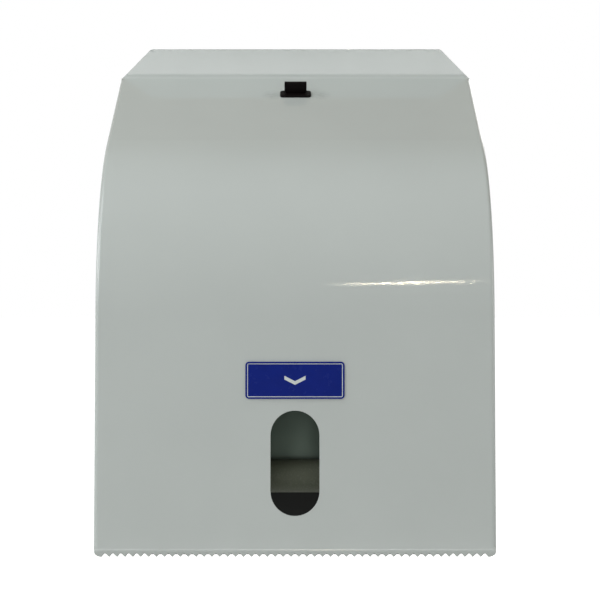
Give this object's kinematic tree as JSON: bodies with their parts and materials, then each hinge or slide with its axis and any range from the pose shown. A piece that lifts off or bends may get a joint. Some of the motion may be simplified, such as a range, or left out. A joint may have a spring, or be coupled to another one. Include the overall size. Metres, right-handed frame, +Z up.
{
  "type": "lever paper towel dispenser",
  "caption": "Wall dispenser for roll paper towels: a domed steel cover with a tear edge, window and latch hinges down, and a push lever turns geared feed rollers.",
  "frame": {"origin": "centre of the four wall-screw slots, on the wall face of the back plate", "axes": "+Y into the wall, so the room is towards -Y; +Z up; +X to the right for someone facing the dispenser"},
  "size_m": [0.2682, 0.2246, 0.3558],
  "materials": {
    "enamel": "gloss stoved enamel, light grey",
    "plate_enamel": "gloss stoved enamel, light grey",
    "zinc_plated": "zinc plated steel",
    "bright_steel": "turned bright steel",
    "spring_steel": "drawn spring wire",
    "black_plastic": "black moulded",
    "acetal": "natural acetal",
    "sector_plastic": "glass filled nylon, dark grey",
    "hub_plastic": "moulded, dark grey",
    "roller_rubber": "ground rubber, dark grey",
    "lever_enamel": "powder coated, dark grey",
    "badge_blue": "gloss, blue field"
  },
  "bodies": {
    "base": {"back_plate": "plate_enamel", "hinge_rivets": "bright_steel", "hinge_washers": "acetal", "latch_strike": "zinc_plated", "strike_rivets": "bright_steel", "side_frame_left": "zinc_plated", "side_frame_right": "zinc_plated", "frame_screws": "bright_steel", "paper_guide": "zinc_plated", "exit_guide": "black_plastic", "feed_bushes": "acetal", "idler_pin": "bright_steel", "idler_clip": "bright_steel", "lever_studs": "bright_steel", "spring_anchor": "bright_steel", "lever_spring": "spring_steel", "nip_springs": "spring_steel", "arm_bracket_left": "zinc_plated", "arm_bracket_right": "zinc_plated", "bracket_rivets": "bright_steel", "arm_pin_left": "bright_steel", "arm_pin_right": "bright_steel", "arm_spring_left": "spring_steel", "arm_spring_right": "spring_steel"},
    "cover": {"front_cover": "enamel", "limit_studs": "bright_steel", "badge": "badge_blue", "latch_bezel": "black_plastic", "latch_pin": "bright_steel", "latch_spring": "spring_steel"},
    "latch": {"latch_lever": "black_plastic"},
    "feed": {"feed_shaft": "bright_steel", "feed_sleeves": "roller_rubber", "feed_pinion": "acetal", "feed_clip": "bright_steel"},
    "idler": {"idler_gear": "acetal"},
    "lever": {"lever_bail": "lever_enamel", "lever_grip": "black_plastic", "sector_gear": "sector_plastic", "sector_rivets": "bright_steel"},
    "yoke": {"nip_yoke": "zinc_plated"},
    "nip": {"nip_shaft": "bright_steel", "nip_roller": "roller_rubber"},
    "arm_left": {"roll_arm_left": "zinc_plated", "hub_axle_left": "bright_steel"},
    "arm_right": {"roll_arm_right": "zinc_plated", "hub_axle_right": "bright_steel"},
    "hub_left": {"roll_hub_left": "hub_plastic"},
    "hub_right": {"roll_hub_right": "hub_plastic"}
  },
  "joints": [
    {"name": "cover_swing", "type": "hinge", "parent": "base", "child": "cover", "pos_m": [0, -0.014, -0.156], "axis": [1, 0, 0], "range_deg": [0, 85]},
    {"name": "latch_pull", "type": "hinge", "parent": "cover", "child": "latch", "pos_m": [0, -0.03257, 0.12936], "axis": [1, 0, 0], "range_deg": [0, 12], "stiffness_Nm_per_rad": 0.12, "springref_deg": -20.05, "deforming": ["latch_spring"]},
    {"name": "lever_push", "type": "hinge", "parent": "base", "child": "lever", "pos_m": [0, -0.1213, -0.126], "axis": [1, 0, 0], "range_deg": [0, 30], "stiffness_Nm_per_rad": 0.9, "springref_deg": -28.65, "deforming": ["lever_spring"]},
    {"name": "idler_spin", "type": "hinge", "parent": "base", "child": "idler", "pos_m": [0, -0.15615, -0.09753], "axis": [1, 0, 0], "range_deg": [-150.01, 0]},
    {"name": "feed_spin", "type": "hinge", "parent": "base", "child": "feed", "pos_m": [0, -0.1673, -0.1243], "axis": [1, 0, 0], "range_deg": [0, 333.34]},
    {"name": "nip_swing", "type": "hinge", "parent": "base", "child": "yoke", "pos_m": [0, -0.186, -0.07], "axis": [-1, 0, 0], "range_deg": [0, 3], "stiffness_Nm_per_rad": 4, "springref_deg": -8.59, "deforming": ["nip_springs"]},
    {"name": "nip_spin", "type": "hinge", "parent": "yoke", "child": "nip", "pos_m": [0, -0.19, -0.1243], "axis": [1, 0, 0], "range_deg": [-333.34, 0]},
    {"name": "arm_left_swing", "type": "hinge", "parent": "base", "child": "arm_left", "pos_m": [-0.1073, -0.01, -0.013], "axis": [0, 0, -1], "range_deg": [0, 8], "stiffness_Nm_per_rad": 1.5, "springref_deg": -11.46, "deforming": ["arm_spring_left"]},
    {"name": "hub_left_spin", "type": "hinge", "parent": "arm_left", "child": "hub_left", "pos_m": [0, -0.098, -0.013], "axis": [1, 0, 0], "continuous": true},
    {"name": "arm_right_swing", "type": "hinge", "parent": "base", "child": "arm_right", "pos_m": [0.1073, -0.01, -0.013], "axis": [0, 0, 1], "range_deg": [0, 8], "stiffness_Nm_per_rad": 1.5, "springref_deg": -11.46, "deforming": ["arm_spring_right"]},
    {"name": "hub_right_spin", "type": "hinge", "parent": "arm_right", "child": "hub_right", "pos_m": [0, -0.098, -0.013], "axis": [1, 0, 0], "continuous": true}
  ],
  "couplings": [
    {"joint": "idler_spin", "follows": "lever_push", "ratio": -5},
    {"joint": "feed_spin", "follows": "lever_push", "ratio": 11.111},
    {"joint": "nip_spin", "follows": "lever_push", "ratio": -11.111}
  ]
}
